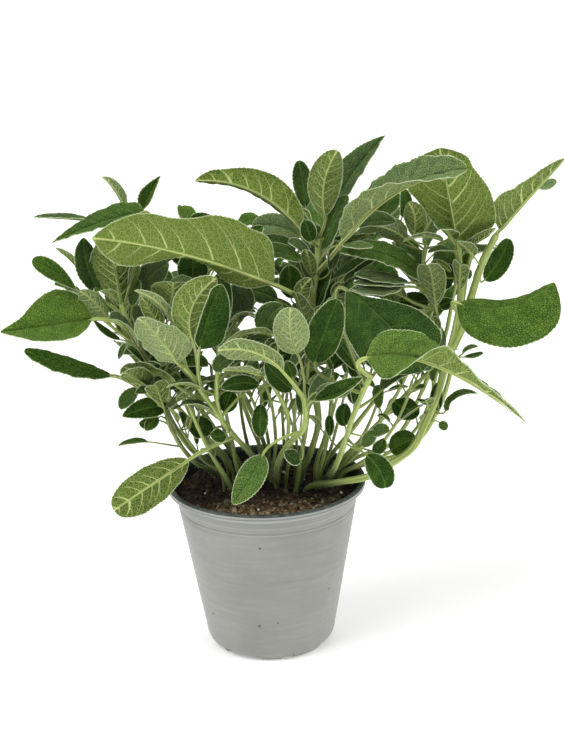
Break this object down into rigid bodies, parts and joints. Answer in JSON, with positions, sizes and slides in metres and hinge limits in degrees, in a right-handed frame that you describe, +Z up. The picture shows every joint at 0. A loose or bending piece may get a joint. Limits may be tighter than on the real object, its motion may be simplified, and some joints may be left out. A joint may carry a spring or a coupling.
{
  "type": "potted sage",
  "caption": "Bushy sage plant with broad oval, felted grey-green leaves on many leafy stems, growing from soil in a tapered round nursery pot.",
  "frame": {"origin": "middle of the pot's underside, on the surface that it stands on", "axes": "+Z up along the pot's axis, +Y away from the viewer of the picture, +X to the viewer's right"},
  "size_m": [0.3238, 0.2361, 0.307],
  "materials": {
    "pot": "satin, lightly scuffed",
    "soil": "crumbly, matt",
    "sage": "felted, matt"
  },
  "bodies": {
    "root": {"pot": "pot", "soil": "soil", "leafy_stem_left": "sage", "leafy_stem_low_left": "sage", "leafy_stem_front_left": "sage", "leafy_stem_front": "sage", "leafy_stem_centre": "sage", "leafy_stem_front_right": "sage", "leafy_stem_right": "sage", "leafy_stem_upper_right": "sage", "leafy_stem_back_left": "sage", "leafy_stem_inner": "sage", "leafy_stem_back": "sage", "leafy_stem_far_left": "sage", "leafy_stem_back_middle": "sage", "leafy_stem_far_right": "sage"}
  },
  "joints": []
}
